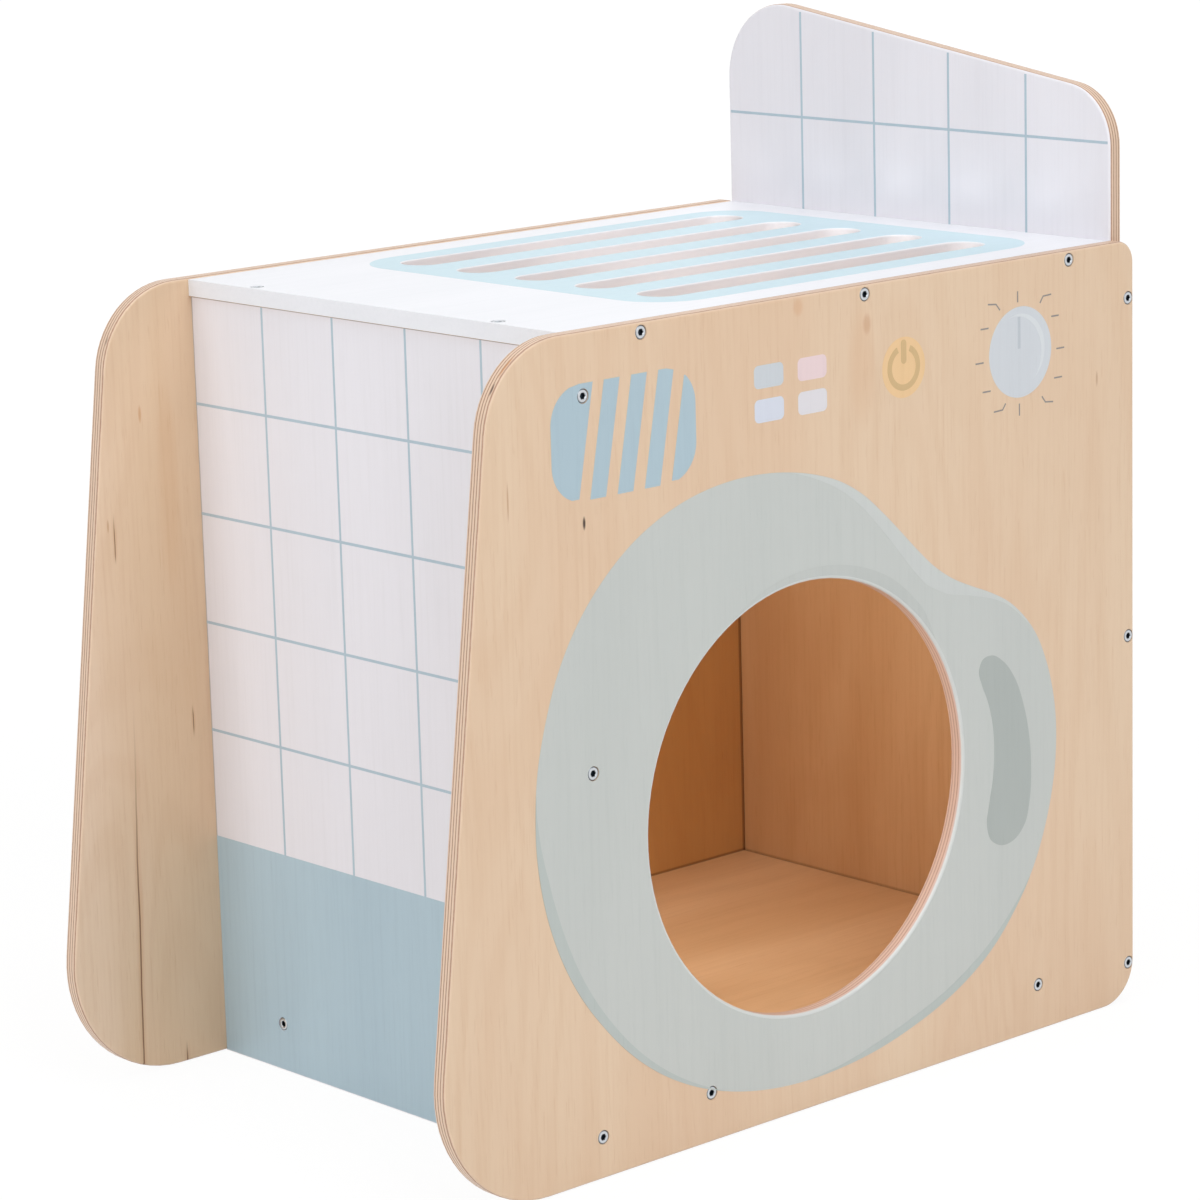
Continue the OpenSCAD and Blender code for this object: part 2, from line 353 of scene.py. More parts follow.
rear_birch = birch(
    "rear_birch",
    1,
    2,
    "rear_panel",
    4.6,
    srgb(233, 206, 179),
    srgb(223, 193, 160),
    srgb(198, 152, 110),
    cracks=[
        (-0.2866, 0.0253, -0.01, 0.29, 0.0009),
        (-0.2468, 0.0, -0.01, 0.018, 0.0008),
        (-0.2262, 0.0, 0.253, 0.270, 0.0005),
        (-0.2884, 0.0, 0.392, 0.422, 0.0005),
    ],
    marks=[
        ((-0.2875, rear_low.y + 0.003, 0.546), (0.006, 0.0014, 0.006), 0.9, (84, 66, 54)),
        ((-0.2607, rear_low.y, 0.489), (0.0016, 0.01, 0.008), 0.6, (196, 140, 92)),
        ((-0.2935, rear_low.y, 0.412), (0.0012, 0.01, 0.006), 0.5, (180, 128, 88)),
        ((-0.238, rear_low.y, 0.43), (0.012, 0.01, 0.09), 0.25, (208, 160, 112)),
    ],
    corners=[(0, right_low.x), (2, floor_high.z)],
    # painted warm shade on the inner face inside the cabinet
    inside=lambda xyz: rear_inside_shade(xyz, 0.004, 0.008, 0.008, 0.004),
    # painted shade: the rear panel's inner face darkened towards brown inside the cabinet
    paints=[(lambda xyz: rear_inside_shade(xyz, 0.01, 0.02, 0.002, -0.002) * 0.2, (128, 76, 34))],
)


def refinish(node, finish):
    """Puts one material on a CAD node."""
    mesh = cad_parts[node].data
    mesh.materials.clear()
    mesh.materials.append(finish)


refinish("front_panel", front_birch)
refinish("rear_panel", rear_birch)

# ---------------------------------------------------------------------------
# Left side panel
# Plywood printed white outside, with a pale blue tile grid above a grey-blue
# band, and bare birch inside. It is screwed between the front and the rear.
# ---------------------------------------------------------------------------
seam_line = srgb(112, 100, 92)


def printed(name, through, along, node, seed, tones, paint, white_side, seam=None, **more):
    """Plywood that is bare birch but for its printed side.

    white_side(xyz) is the share of paint and seam(xyz) that of the dark joints round
    it. The paint follows the grain in two close tones and a faint relief.
    """
    finish, start, xyz = new_finish(name)
    across = 3 - through - along
    colour, height = plywood(start, xyz, through, along, node, seed, *tones, **more)
    tone, streaks, _, _ = grain(start, xyz[across], xyz[along], xyz[through], seed + 2.0)
    share = tone.fade(0.3, 0.75) * 0.5 + streaks.fade(0.4, 0.8) * 0.5
    colour = colour.tint(white_side(xyz), start.mix(share, *paint))
    if seam:
        colour = colour.tint(seam(xyz) * 0.9, seam_line)
    lacquer(start, colour, 0.45, height, 0.00008, coat=0.15)
    return finish


def left_seam(xyz):
    """Dark joints where the left side panel meets the top panel and the rear panel."""
    under_top = xyz[2].fade(ground_to_top - 0.0012, ground_to_top - 0.0006)
    at_rear = xyz[1].fade(left_high.y - 0.0012, left_high.y - 0.0004) * 0.6
    return under_top.maths("MAXIMUM", at_rear)


tile_white = (srgb(237, 235, 241), srgb(230, 228, 233))
# Birch tones for the cabinet's inside faces, warmer than the outer birch: painted colour of light
# bouncing inside the cabinet.
inside_bounce_birch = (srgb(230, 188, 140), srgb(217, 169, 118), srgb(186, 132, 82))
left_print = printed(
    "left_print",
    0,
    2,
    "left_side_panel",
    7.9,
    inside_bounce_birch,
    tile_white,
    lambda xyz: xyz[0].fade(left_low.x + 0.0012, left_low.x + 0.0009),
    seam=left_seam,
)
refinish("left_side_panel", left_print)

ink_rise = 0.00012  # how far a printed layer stands out of its panel
ink_root = 0.0004  # how deep it reaches into the panel


def new_piece(mesh, finish, merge=0.0):
    """Piece from a closed mesh: points nearer than merge are joined, and its faces are
    turned outwards."""
    shell = bmesh.new()
    shell.from_mesh(mesh)
    if merge:
        bmesh.ops.remove_doubles(shell, verts=shell.verts, dist=merge)
    bmesh.ops.recalc_face_normals(shell, faces=shell.faces)
    shell.to_mesh(mesh)
    shell.free()
    mesh.materials.append(finish)
    piece = bpy.data.objects.new(mesh.name, mesh)
    bpy.context.scene.collection.objects.link(piece)
    return piece


def ink_mesh(name, strips, place, finish, rise=ink_rise):
    """Layer of print made of ruled strips.

    A strip is an array (n, 2, 2) of rungs: two edge points in the panel's plane.
    place turns plane coordinates and a height over the face into x, y, z. Each strip
    becomes a closed plate: front and back quads between rungs, and walls all round.
    """
    points, faces = [], []
    for rungs, closed in strips:
        n = len(rungs)
        base = sum(len(p) for p in points)
        for height in (rise, -ink_root):
            points.append(place(rungs[:, :, 0].ravel(), rungs[:, :, 1].ravel(), height))
        k = np.arange(n if closed else n - 1)
        a, b = 2 * k, 2 * ((k + 1) % n)
        back = 2 * n
        quads = [
            np.stack([a, a + 1, b + 1, b], 1),
            np.stack([b, b + 1, a + 1, a], 1) + back,
            np.stack([a, b, b + back, a + back], 1),
            np.stack([b + 1, a + 1, a + 1 + back, b + 1 + back], 1),
        ]
        if not closed:
            last = 2 * n - 2
            quads.append(np.array([[1, 0, back, back + 1]]))
            quads.append(np.array([[last, last + 1, last + 1 + back, last + back]]))
        faces.append(np.concatenate(quads) + base)
    mesh = bpy.data.meshes.new(name)
    mesh.from_pydata(np.concatenate(points).tolist(), [], np.concatenate(faces).tolist())
    piece = new_piece(mesh, finish)
    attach(piece, "root")


def ink_finish(name, pale, dark, along, across, seed):
    """Print on birch: its colour in two close tones that follow the grain below."""
    finish, start, xyz = new_finish(name)
    tone, streaks, _, pores = grain(start, xyz[across], xyz[along], xyz[0] * 0.3, seed)
    share = tone.fade(0.3, 0.72) * 0.45 + streaks.fade(0.42, 0.78) * 0.4 + pores * 0.3
    colour = start.mix(share, srgb(*pale), srgb(*dark))
    lacquer(start, colour, 0.5, streaks * 0.5 - pores * 0.5, 0.00008, coat=0.1)
    return finish


def on_left(a, b, height):
    """Plane coordinates (y, z) on the outer face of the left side panel."""
    return np.stack([np.full_like(a, left_low.x - height), a, b], 1)


def bar(a0, b0, a1, b1):
    """Upright or level rectangle as one strip."""
    return np.array([[[a0, b0], [a1, b0]], [[a0, b1], [a1, b1]]]), False


line_half = 0.001  # half the width of a line between tiles
tile_inset = 0.0002  # how far the print stays off the panel's edges
band_foot = 0.0006
tile_top = ground_to_top - 0.001


def uprights(middle, low, high, rows):
    """An upright line in pieces that stop at the level lines."""
    ends = [low] + [z + side for z in sorted(rows) for side in (-line_half, line_half)] + [high]
    a, b = middle - line_half, middle + line_half
    return [bar(a, z0, b, z1) for z0, z1 in zip(ends[0::2], ends[1::2])]


tile_rows = ground_to_top - np.array([0.0786, 0.1596, 0.2405, 0.3215])
tile_columns = left_high.y - np.array([0.0815, 0.1604, 0.2392, 0.3180])
band_top = ground_to_top - 0.4024
tile_blue = ink_finish("tile_blue", (181, 200, 211), (171, 190, 203), 2, 1, 7.9)
band_blue = ink_finish("band_blue", (181, 203, 214), (170, 192, 204), 2, 1, 8.8)
tile_front, tile_rear = left_low.y + tile_inset, left_high.y - tile_inset
tile_lines = [bar(tile_front, z - line_half, tile_rear, z + line_half) for z in tile_rows]
for y in tile_columns:
    tile_lines += uprights(y, band_top, tile_top, tile_rows)
ink_mesh("left_tile_lines", tile_lines, on_left, tile_blue)
ink_mesh("left_band", [bar(tile_front, band_foot, tile_rear, band_top)], on_left, band_blue)

# ---------------------------------------------------------------------------
# Right side panel with the splashback
# One panel from the ground to the splashback's rounded corners. It is printed
# with the tile grid where it stands above the top, and bare birch elsewhere.
# ---------------------------------------------------------------------------
splash_print = printed(
    "splash_print",
    0,
    2,
    "right_side_panel",
    12.4,
    (srgb(230, 204, 172), srgb(218, 186, 150), srgb(190, 144, 102)),
    (srgb(238, 236, 242), srgb(231, 229, 235)),
    lambda xyz: xyz[0].fade(right_low.x + 0.0011, right_low.x + 0.0007)
    * xyz[2].fade(top_high.z - 0.006, top_high.z - 0.004),
    corners=[(1, rear_low.y), (2, floor_high.z)],
    # painted warm shade on the inner face below the top panel
    inside=lambda xyz: xyz[0].fade(right_low.x + 0.0006, right_low.x + 0.0002)
    * xyz[2].fade(top_low.z + 0.008, top_low.z + 0.004)
    * 0.55,
)
refinish("right_side_panel", splash_print)

splash_front_h = 0.108
splash_rise = 0.061
splash_margin = 0.0024


def splash_top(y):
    """Height of the splashback's slanted edge at y: a straight line from front to rear."""
    share = (y - right_low.y) / (right_high.y - right_low.y)
    return top_high.z + splash_front_h + splash_rise * share


def on_splash(a, b, height):
    """Plane coordinates (y, z) on the inner face of the splashback."""
    return np.stack([np.full_like(a, right_low.x - height), a, b], 1)


splash_row = ground_to_top + 0.0841
splash_columns = right_high.y - np.array([0.0821, 0.1606, 0.2390, 0.3174])
row_front, row_rear = right_low.y + splash_margin, right_high.y - splash_margin
splash_lines = [bar(row_front, splash_row - line_half, row_rear, splash_row + line_half)]
splash_foot = top_high.z - tile_inset
for y in splash_columns:
    splash_lines += uprights(y, splash_foot, splash_top(y) - splash_margin, [splash_row])
ink_mesh("splash_tile_lines", splash_lines, on_splash, tile_blue)

# ---------------------------------------------------------------------------
# Top panel
# White printed plywood with five routed drying slots, whose rims are lightly
# rounded over and painted white, inside a pale blue printed field.
# ---------------------------------------------------------------------------
top_white = printed(
    "top_white",
    2,
    0,
    "top_panel",
    15.2,
    inside_bounce_birch,
    (srgb(240, 241, 246), srgb(233, 235, 240)),
    lambda xyz: xyz[2].fade(top_low.z, top_low.z + 0.0002),
)
refinish("top_panel", top_white)

field_low = np.array([left_low.x + 0.120, left_high.y - 0.367])
field_high = np.array([left_low.x + 0.510, left_high.y - 0.030])
field_r = 0.042
slot_middle_x = 0.1016
slot_back = 0.003
slot_pitch = 0.0635
slot_half_l = 0.1685
slot_half_w = 0.01775


def field_inset(y):
    """How far the field's rounded corners draw its ends in at y: a quarter circle."""
    over = np.maximum(np.maximum(field_low[1] + field_r - y, y - field_high[1] + field_r), 0.0)
    return field_r - np.sqrt(np.maximum(field_r**2 - over**2, 0.0))


def on_top(a, b, height):
    """Plane coordinates (x, y) on the upper face of the top panel."""
    return np.stack([a, b, np.full_like(a, top_high.z + height)], 1)


def field_strip(y, left, right):
    """Strip of the field with rungs at y from left to right."""
    return np.stack([np.stack([left, y], 1), np.stack([right, y], 1)], 1), False


slot_lines = slot_back + slot_pitch * (np.arange(5) - 2)
field_strips = []
band_edges = [field_low[1]]
for y in slot_lines:
    band_edges += [y - slot_half_w, y + slot_half_w]
band_edges.append(field_high[1])
for low, high in zip(band_edges[0::2], band_edges[1::2]):
    y = np.linspace(low, high, 25)
    inset = field_inset(y)
    field_strips.append(field_strip(y, field_low[0] + inset, field_high[0] - inset))
for middle in slot_lines:
    y = middle - slot_half_w * np.cos(np.linspace(0.0, np.pi, 33))
    reach = slot_half_l - slot_half_w + np.sqrt(np.maximum(slot_half_w**2 - (y - middle) ** 2, 0))
    inset = field_inset(y)
    field_strips.append(field_strip(y, field_low[0] + inset, slot_middle_x - reach))
    field_strips.append(field_strip(y, slot_middle_x + reach, field_high[0] - inset))
field_blue = ink_finish("field_blue", (202, 226, 235), (194, 219, 229), 0, 1, 16.0)
ink_mesh("top_field", field_strips, on_top, field_blue)

# ---------------------------------------------------------------------------
# Floor panel
# Clear lacquered birch with the grain from side to side, screwed between all
# four walls a finger's width above the ground.
# ---------------------------------------------------------------------------
floor_corners = [(1, rear_low.y), (0, right_low.x), (0, left_high.x), (1, front_high.y)]
floor_tones = (srgb(229, 191, 147), srgb(217, 176, 130), srgb(186, 138, 92))
floor_birch = birch("floor_birch", 2, 0, "floor_panel", 19.7, *floor_tones, corners=floor_corners)
refinish("floor_panel", floor_birch)


# ---------------------------------------------------------------------------
# Printed door ring
# A soft grey-green ring round the loading opening, widened into a handle, with
# darker rims at the lower left and right, a pale one at the upper right, a darker
# arch over the opening and a darker finger grip.
# ---------------------------------------------------------------------------
def on_front(a, b, height):
    """Plane coordinates (x, z) on the front panel's face."""
    return np.stack([a, np.full_like(a, front_y - height), b], 1)


def front_print(name, strips, finish, rise=ink_rise):
    """Layer of print on the front panel."""
    ink_mesh(name, strips, on_front, finish, rise)


over_print = 2 * ink_rise  # how far a layer over another print stands out


def smooth_loop(points, steps):
    """Closed curve through given points: cubic Hermite spans whose tangents
    come from the neighbours on both sides, weighted by their distances."""
    p = np.array(points, float)
    after, before = np.roll(p, -1, 0), np.roll(p, 1, 0)
    ahead = np.linalg.norm(after - p, axis=1)[:, None]
    behind = np.linalg.norm(p - before, axis=1)[:, None]
    slope = ((after - p) / ahead * behind + (p - before) / behind * ahead) / (ahead + behind)
    t = np.arange(steps)[None, :, None] / steps
    m0, m1 = (slope * ahead)[:, None], (np.roll(slope, -1, 0) * ahead)[:, None]
    q0, q1 = p[:, None], after[:, None]
    curve = (
        q0 * (2 * t**3 - 3 * t**2 + 1)
        + m0 * (t**3 - 2 * t**2 + t)
        + q1 * (3 * t**2 - 2 * t**3)
        + m1 * (t**3 - t**2)
    )
    return curve.reshape(-1, 2)


def outward(loop):
    """Unit normals of a clockwise or counter-clockwise loop, pointing away from its middle."""
    along = np.roll(loop, -1, 0) - np.roll(loop, 1, 0)
    normal = np.stack([along[:, 1], -along[:, 0]], 1)
    normal /= np.linalg.norm(normal, axis=1)[:, None]
    away = (normal * (loop - loop.mean(0))).sum(1).mean()
    return normal if away > 0 else -normal


door_r = 0.1572
ring_points = (
    [(-50, 237), (-19.6, 234.6), (10.1, 228.5), (34, 220.2), (56.1, 207.6), (74.5, 192.6)]
    + [(92.1, 176.6), (109.5, 160.2), (127.1, 145.1), (145.2, 133.5), (165.4, 124.4)]
    + [(185.7, 116.2), (204.7, 106.4), (221.1, 93.1), (234.8, 76.6), (244.9, 56.2)]
    + [(251.8, 33.9), (255.4, 11.1), (255.6, -12.1), (246.3, -60.9), (226, -105.4)]
    + [(208, -128.9), (186.6, -150), (160.6, -167.3), (131.9, -180.6), (99.3, -191.2)]
    + [(65.4, -199.2), (25.2, -204.1), (-15, -204.9), (-52.7, -201.2), (-89.8, -192.7)]
    + [(-121.4, -180.7), (-151.1, -164.3), (-177.7, -143.7), (-201.5, -119), (-221.4, -93)]
    + [(-237, -64.3), (-247.4, -36.5), (-253.8, -8.1), (-256.3, 14.4), (-256.3, 37)]
    + [(-253.4, 67.5), (-245.7, 98), (-233, 131.1), (-214.4, 161.4), (-191.1, 186.8)]
    + [(-164.2, 207.4), (-137.9, 220.9), (-109.9, 230.3), (-80.2, 235.6)]
)
ring_outer = smooth_loop(np.array(ring_points) / 1000, 6) + door_middle
ring_angle = np.arctan2(ring_outer[:, 1] - door_middle[1], ring_outer[:, 0] - door_middle[0])
ring_inner = door_middle + door_r * np.stack([np.cos(ring_angle), np.sin(ring_angle)], 1)
ring_green = ink_finish("ring_green", (202, 206, 203), (194, 199, 196), 2, 0, 21.5)
ring_shade = ink_finish("ring_shade", (189, 197, 194), (183, 191, 188), 2, 0, 22.5)
ring_light = ink_finish("ring_light", (209, 213, 211), (202, 206, 204), 2, 0, 23.5)
front_print("door_ring", [(np.stack([ring_inner, ring_outer], 1), True)], ring_green)


def rim(loop, widths, side):
    """Strip along a loop from knots (degrees round the door, width in mm) in rising
    order, laid inside the loop for side 1 and outside it for side -1."""
    knots = np.array(widths, float)
    round_door = np.degrees(ring_angle) % 360
    width = np.interp(round_door, knots[:, 0], knots[:, 1], left=0, right=0) / 1000
    order = np.argsort(round_door)
    order = order[(round_door[order] >= knots[0, 0]) & (round_door[order] <= knots[-1, 0])]
    inner = loop - side * outward(loop) * width[:, None]
    return np.stack([inner[order], loop[order]], 1), False


dark_left = (
    [(168, 0), (172, 1.5), (177, 4.5), (182, 7.5), (188, 9), (195, 9.2), (203, 8.2), (210, 6.8)]
    + [(219, 5.5), (227, 4.2), (236, 2.5), (246, 0)]
)
dark_right = (
    [(266, 0), (277, 2.2), (288, 5.6), (297, 6.8), (306, 6.8), (314, 6.8), (321, 5.6)]
    + [(328, 3), (336, 0)]
)
light_right = (
    [(18, 0), (23, 1.6), (28, 2.4), (32, 4), (37, 7), (42, 11.5), (48.6, 14.5), (55, 13)]
    + [(62, 11), (69, 9), (75, 7.5), (81, 5.6), (87, 3), (94, 0)]
)
dark_arch = [(36, 0), (45, 6.5), (60, 9), (75, 8), (90, 6.5), (105, 4), (118, 0)]
dark_rims = [rim(ring_outer, dark_left, 1), rim(ring_outer, dark_right, 1)]
front_print("ring_dark_rims", dark_rims, ring_shade, over_print)
front_print("ring_light_rim", [rim(ring_outer, light_right, 1)], ring_light, over_print)
ring_arch = ink_finish("ring_arch", (198, 202, 199), (190, 195, 192), 2, 0, 23.5)
front_print("ring_door_arch", [rim(ring_inner, dark_arch, -1)], ring_arch, over_print)

bean_points = (
    [(186.5, 69.4), (199, 62.6), (210.8, 48.6), (220.2, 27), (226.2, 2), (228, -23), (226.4, -46)]
    + [(220.6, -64), (209.6, -73.4), (195.5, -75), (184, -68.4), (180, -56), (182.8, -41)]
    + [(187, -22), (188.6, -2), (187, 18), (182, 36), (176, 49), (173, 60), (177, 67.8)]
)


def ladder(loop):
    """A closed outline as one strip: its first half paired with its second half."""
    half = len(loop) // 2
    return np.stack([loop[:half], loop[: -half - 1 : -1]], 1), False


bean = smooth_loop(np.array(bean_points) / 1000, 8) + door_middle
bean_green = ink_finish("bean_green", (177, 184, 181), (171, 178, 175), 2, 0, 24.5)
front_print("ring_handle", [ladder(bean)], bean_green, over_print)

# ---------------------------------------------------------------------------
# Printed control panel
# Four soft buttons, a yellow power disc, and a grey dial with a pointer and
# short strokes round it, all flat print on the birch.
# ---------------------------------------------------------------------------
corner_steps = 8


def rounded_box(middle, size, r):
    """Rectangle with quarter-circle corners as one strip that starts in a corner's middle."""
    a = np.linspace(0, np.pi / 2, corner_steps)
    arc = np.stack([np.cos(a), np.sin(a)], 1) * r
    half = np.array(size) / 2 - r
    corners = []
    for k in range(4):
        c, s = np.cos(k * np.pi / 2), np.sin(k * np.pi / 2)
        turned = arc @ np.array([[c, s], [-s, c]])
        corner = half * np.array([[1, 1], [-1, 1], [-1, -1], [1, -1]][k])
        corners.append(turned + corner)
    loop = np.concatenate(corners) + np.array(middle)
    return ladder(np.roll(loop, corner_steps // 2, 0))


circle_steps = 96


def disc(middle, r):
    """Circle as one strip."""
    a = np.arange(circle_steps) * 2 * np.pi / circle_steps
    return ladder(np.array(middle) + r * np.stack([np.cos(a), np.sin(a)], 1))


def stroke(points, width):
    """Polyline of even width as one strip: rungs square to the mean of its spans."""
    p = np.array(points, float)
    span = np.diff(p, axis=0)
    span /= np.linalg.norm(span, axis=1)[:, None]
    lean = np.concatenate([span[:1], span]) + np.concatenate([span, span[-1:]])
    lean /= np.linalg.norm(lean, axis=1)[:, None]
    side = np.stack([-lean[:, 1], lean[:, 0]], 1) * width / 2
    return np.stack([p - side, p + side], 1), False


button_size = (0.028, 0.016)
button_r = 0.004
buttons = [
    ("button_grey", (-0.0339, 0.5301), (209, 215, 221)),
    ("button_pink", (0.0078, 0.5301), (239, 216, 218)),
    ("button_blue", (-0.0339, 0.5066), (220, 225, 238)),
    ("button_lilac", (0.0078, 0.5066), (230, 227, 232)),
]
for k, (name, middle, colour) in enumerate(buttons):
    darker = tuple(c - 6 for c in colour)
    finish = ink_finish(name, colour, darker, 2, 0, 26.0 + k)
    front_print(name, [rounded_box(middle, button_size, button_r)], finish)

power_middle = np.array([0.0984, 0.5185])
power_r = 0.0216
power_ring_inner, power_ring_outer = 0.0121, 0.0164
power_bar_up = 0.0111
power_bar_size = (0.0052, 0.0171)
power_yellow = ink_finish("power_yellow", (241, 204, 155), (234, 196, 146), 2, 0, 31.0)
power_ochre = ink_finish("power_ochre", (214, 182, 134), (208, 176, 128), 2, 0, 32.0)
front_print("power_disc", [disc(power_middle, power_r)], power_yellow)
power_gap = np.radians(25)  # half of the ring's opening at the top
sweep = np.linspace(np.pi / 2 + power_gap, 5 * np.pi / 2 - power_gap, 60)
ray = np.stack([np.cos(sweep), np.sin(sweep)], 1)
power_ring = np.stack([ray * power_ring_inner, ray * power_ring_outer], 1) + power_middle
power_bar = rounded_box(power_middle + [0.0, power_bar_up], power_bar_size, power_bar_size[0] / 2)
front_print("power_symbol", [(power_ring, False), power_bar], power_ochre, over_print)

dial_middle = np.array([0.2193, 0.5139])
dial_r = 0.033
pointer_line = [(0.218, 0.5165), (0.218, 0.5395)]
pointer_width = 0.0028
stroke_width = 0.0011
dial_grey = ink_finish("dial_grey", (214, 219, 225), (207, 212, 218), 2, 0, 34.0)
dial_line = ink_finish("dial_line", (197, 204, 211), (191, 198, 205), 2, 0, 35.0)
dial_light = ink_finish("dial_light", (223, 228, 232), (216, 221, 226), 2, 0, 36.0)
stroke_grey = ink_finish("stroke_grey", (150, 145, 142), (140, 134, 130), 2, 0, 37.0)
front_print("dial_disc", [disc(dial_middle, dial_r)], dial_grey)
front_print("dial_pointer", [stroke(pointer_line, pointer_width)], dial_line, over_print)
shine_at = np.radians(np.linspace(-55, 115, 60))
shine_ray = np.stack([np.cos(shine_at), np.sin(shine_at)], 1)
shine_r, shine_width = 0.0268, 0.0042
shine_widths = shine_width * np.sin(np.linspace(0, np.pi, 60))[:, None]
shine_edges = [shine_ray * (shine_r - shine_widths), shine_ray * shine_r]
shine_rungs = np.stack(shine_edges, 1) + dial_middle + [-0.001, 0.001]
front_print("dial_light_rim", [(shine_rungs, False)], dial_light, over_print)
dial_strokes = (
    [[(-2.5, 44.2), (-2.5, 36.3)], [(-1.3, -37.4), (-1.3, -46.2)]]
    + [[(-41.7, 21.3), (-33.4, 21.3)], [(-47.2, -2.9), (-38.8, -2.9)], [(-40, -24.2), (-31.7, -24.2)]]
    + [[(33.3, 21.7), (41.2, 21.7)], [(38.7, -2.5), (47.1, -2.5)], [(36.2, -23.7), (44.6, -23.7)]]
    + [[(-33.8, 38.3), (-25.4, 37.5), (-21.3, 32.9)], [(21.2, 32.9), (24.6, 37.5), (33.3, 37.9)]]
    + [[(-28.4, -40), (-19.2, -39.6), (-15.9, -35.4)], [(22.8, -35.4), (26.6, -40), (34.8, -40.8)]]
)
strokes = [stroke(np.array(s) / 1000 + dial_middle, stroke_width) for s in dial_strokes]
front_print("dial_strokes", strokes, stroke_grey)

# ---------------------------------------------------------------------------
# Printed striped patch
# Five slanted stripes that fill a plain rounded patch, in grey-blue print above
# the door's left shoulder.
# ---------------------------------------------------------------------------
patch_middle = np.array([-0.168, 0.5085])
patch_size = (0.130, 0.078)
patch_r = 0.026
stripe_slant = 0.19
stripe_least = 0.0003  # a stripe ends where it gets narrower
stripe_starts = np.array([-0.070, -0.0245, 0.0, 0.0245, 0.0490])
stripe_ends = np.array([-0.0345, -0.0105, 0.0140, 0.0385, 0.090])
patch_z = np.linspace(-patch_size[1] / 2, patch_size[1] / 2, 49)
corner = np.maximum(np.abs(patch_z) - (patch_size[1] / 2 - patch_r), 0.0)
patch_half = patch_size[0] / 2 - patch_r + np.sqrt(patch_r**2 - corner**2)
stripes = []
for start_x, end_x in zip(stripe_starts, stripe_ends):
    lean = patch_z * stripe_slant
    low = np.clip(start_x + lean, -patch_half, patch_half)
    high = np.clip(end_x + lean, -patch_half, patch_half)
    keep = high - low > stripe_least
    rungs = np.stack([np.stack([low, patch_z], 1), np.stack([high, patch_z], 1)], 1)[keep]
    stripes.append((rungs + patch_middle, False))
patch_blue = ink_finish("patch_blue", (178, 200, 211), (170, 192, 204), 2, 0, 41.0)
front_print("striped_patch", stripes, patch_blue)

# ---------------------------------------------------------------------------
# Screws
# Zinc plated countersunk furniture screws with a hexagon socket, flush in the
# faces. Each is one turned piece with a domed ring, a broken edge, a deep socket,
# a smooth shoulder in the outer panel and a slimmer grip in the inner one. Painted
# shade darkens the socket and the rim, and a painted highlight brightens the ring.
# ---------------------------------------------------------------------------
screw_l = 0.05
screw_hole_r = 0.0051
screw_apart = 0.012  # points of one screw are nearer to each other across it
screw_head_r = (0.0049, 0.006)  # only the head's points are this far from the axis
screw_columns = 48
# (radius, height over the face, hexagon share, painted brightness) in mm, from the middle
# of the socket over the rim to the tip; the brightness is painted shade in the socket and
# round the rim and a painted highlight on the ring
screw_rows = np.array(
    [(0, -3.1, 1, 0.16), (2, -3, 1, 0.16), (2, -0.5, 1, 0.3), (2.3, -0.16, 0.5, 0.6)]
    + [(2.7, -0.06, 0, 0.75), (3.3, -0.05, 0, 0.85), (3.9, -0.12, 0, 0.7), (4.3, -0.28, 0, 0.4)]
    + [(4.75, -0.6, 0, 0.12), (4.6, -0.98, 0, 0.1), (3.45, -2.15, 0, 0.3), (3.45, -12, 0, 0.7)]
    + [(2.45, -13, 0, 0.7), (2.45, -46, 0, 0.7), (1.2, -48.8, 0, 0.7), (0, -50, 0, 0.7)]
)
finish, start, xyz = new_finish("zinc_plate")
# painted light of each row: painted shade in the socket and round the rim, painted highlight on the
# ring
bright = start.node("ShaderNodeAttribute", out=2, attribute_name="bright")
rub = speckle(start, xyz, 0.0, 900.0, 3.0)
zinc = start.mix(rub, srgb(232, 235, 238), srgb(196, 201, 206))
zinc = zinc.tint(bright.fade(1.0, 0.0), srgb(40, 54, 66))
lacquer(start, zinc, rub * 0.2 + 0.2, rub, 0.00002, metal=1.0)


def screw_heads(node):
    """(middles of the heads, outward unit vector) of a CAD node's screws.

    The screws lie along the axis on which the node is one screw long. Their points
    are sorted into screws across it, and the head is at the end with the wide points.
    """
    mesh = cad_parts[node].data
    points = np.empty(len(mesh.vertices) * 3)
    mesh.vertices.foreach_get("co", points)
    points = points.reshape(-1, 3)
    axis = int(np.argmin(np.abs(np.ptp(points, axis=0) - screw_l)))
    flat = np.delete(points, axis, 1)
    middles, left = [], np.ones(len(points), bool)
    while left.any():
        near = left & (np.linalg.norm(flat - flat[left][0], axis=1) < screw_apart)
        middles.append((points[near].min(0) + points[near].max(0)) / 2)
        left &= ~near
    wide = np.linalg.norm(flat - np.delete(middles[0], axis), axis=1)
    wide = points[(wide > screw_head_r[0]) & (wide < screw_head_r[1]), axis]
    way = np.zeros(3)
    way[axis] = np.sign(wide.mean() - middles[0][axis])
    return np.array(middles) + way * screw_l / 2, way


def turned(radii, heights, hexagon, middle, way):
    """Rows of points round an axis: a radius is blended by the hexagon share towards
    radius / cos(angle from the nearest flat), which draws a hexagon."""
    a = np.arange(screw_columns) * 2 * np.pi / screw_columns
    flat = (a + np.pi / 6) % (np.pi / 3) - np.pi / 6
    r = radii[:, None] * (1 + hexagon[:, None] * (1 / np.cos(flat) - 1))
    u = np.roll(way, 1)
    v = np.cross(way, u)
    spokes = np.cos(a)[:, None] * u + np.sin(a)[:, None] * v
    return (middle + heights[:, None, None] * way + r[:, :, None] * spokes).reshape(-1, 3)


